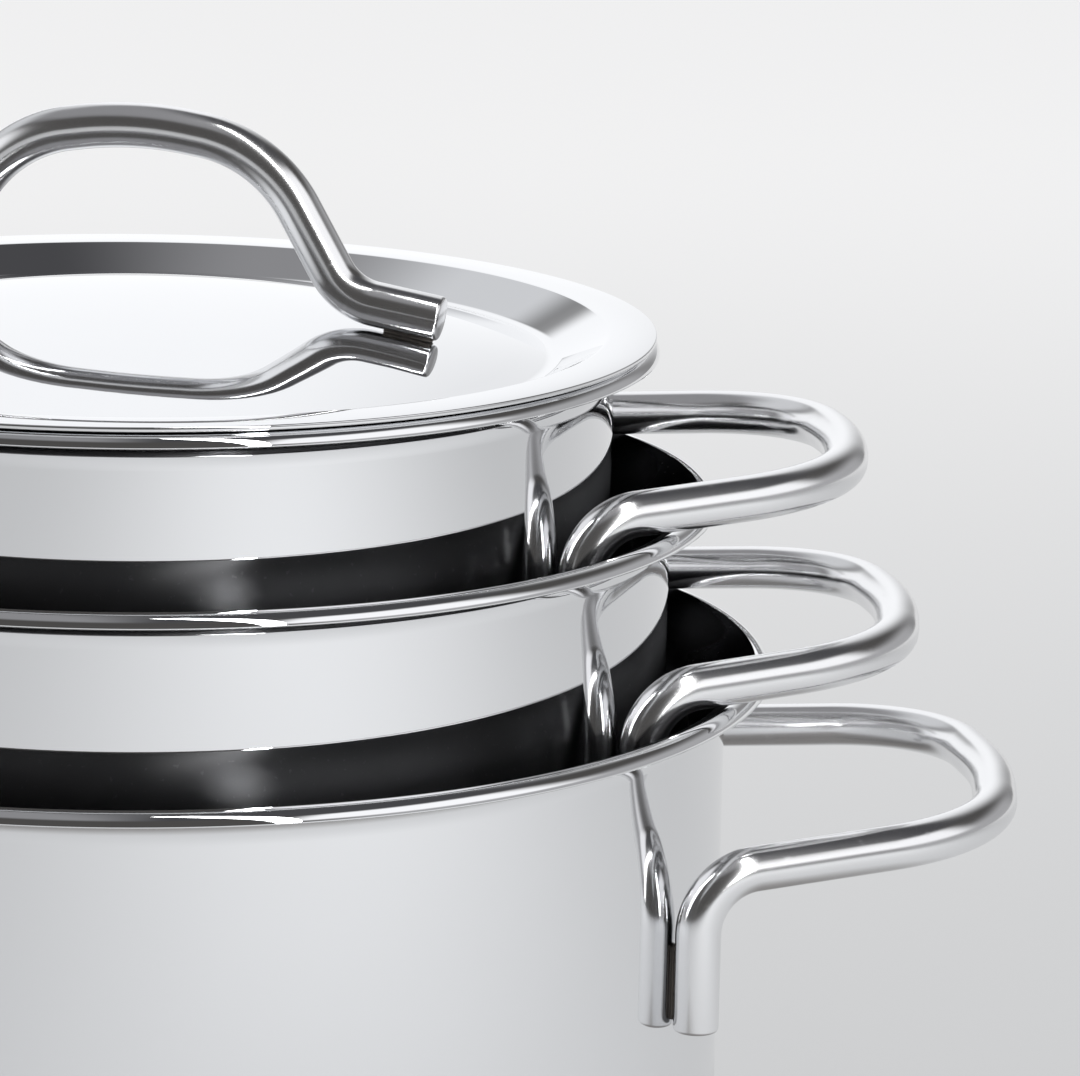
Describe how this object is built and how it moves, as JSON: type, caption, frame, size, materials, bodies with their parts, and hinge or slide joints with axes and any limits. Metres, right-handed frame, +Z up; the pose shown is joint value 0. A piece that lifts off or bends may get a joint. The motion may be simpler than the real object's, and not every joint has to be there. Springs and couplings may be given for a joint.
{
  "type": "nesting soup pot set",
  "caption": "Nest of polished steel soup pots with flared pouring lips and bent-rod loop handles, each hung on the rim of the next larger pot, under a domed lid with a rod arch handle.",
  "frame": {"origin": "middle of the largest pot's underside, on the surface that it stands on", "axes": "+Z up along the pots' common axis, +X out through the right-hand side handles, the pictured side towards -Y"},
  "size_m": [0.3004, 0.215, 0.2168],
  "materials": {
    "polished_steel": "polished",
    "rod_steel": "polished",
    "base_steel": "satin",
    "aluminium_core": "satin"
  },
  "bodies": {
    "big_pot": {"big_pot_shell": "polished_steel", "big_pot_base_core": "aluminium_core", "big_pot_base_cap": "base_steel", "big_pot_right_handle": "rod_steel", "big_pot_left_handle": "rod_steel"},
    "middle_pot": {"middle_pot_shell": "polished_steel", "middle_pot_base_core": "aluminium_core", "middle_pot_base_cap": "base_steel", "middle_pot_right_handle": "rod_steel", "middle_pot_left_handle": "rod_steel"},
    "small_pot": {"small_pot_shell": "polished_steel", "small_pot_base_core": "aluminium_core", "small_pot_base_cap": "base_steel", "small_pot_right_handle": "rod_steel", "small_pot_left_handle": "rod_steel"},
    "lid": {"lid_shell": "polished_steel", "lid_handle": "rod_steel"}
  },
  "joints": [
    {"name": "middle_pot_lift", "type": "slide", "parent": "big_pot", "child": "middle_pot", "axis": [0, 0, 1], "range_m": [0, 0.12]},
    {"name": "small_pot_lift", "type": "slide", "parent": "middle_pot", "child": "small_pot", "axis": [0, 0, 1], "range_m": [0, 0.11]},
    {"name": "lid_lift", "type": "slide", "parent": "small_pot", "child": "lid", "axis": [0, 0, 1], "range_m": [0, 0.08]}
  ]
}
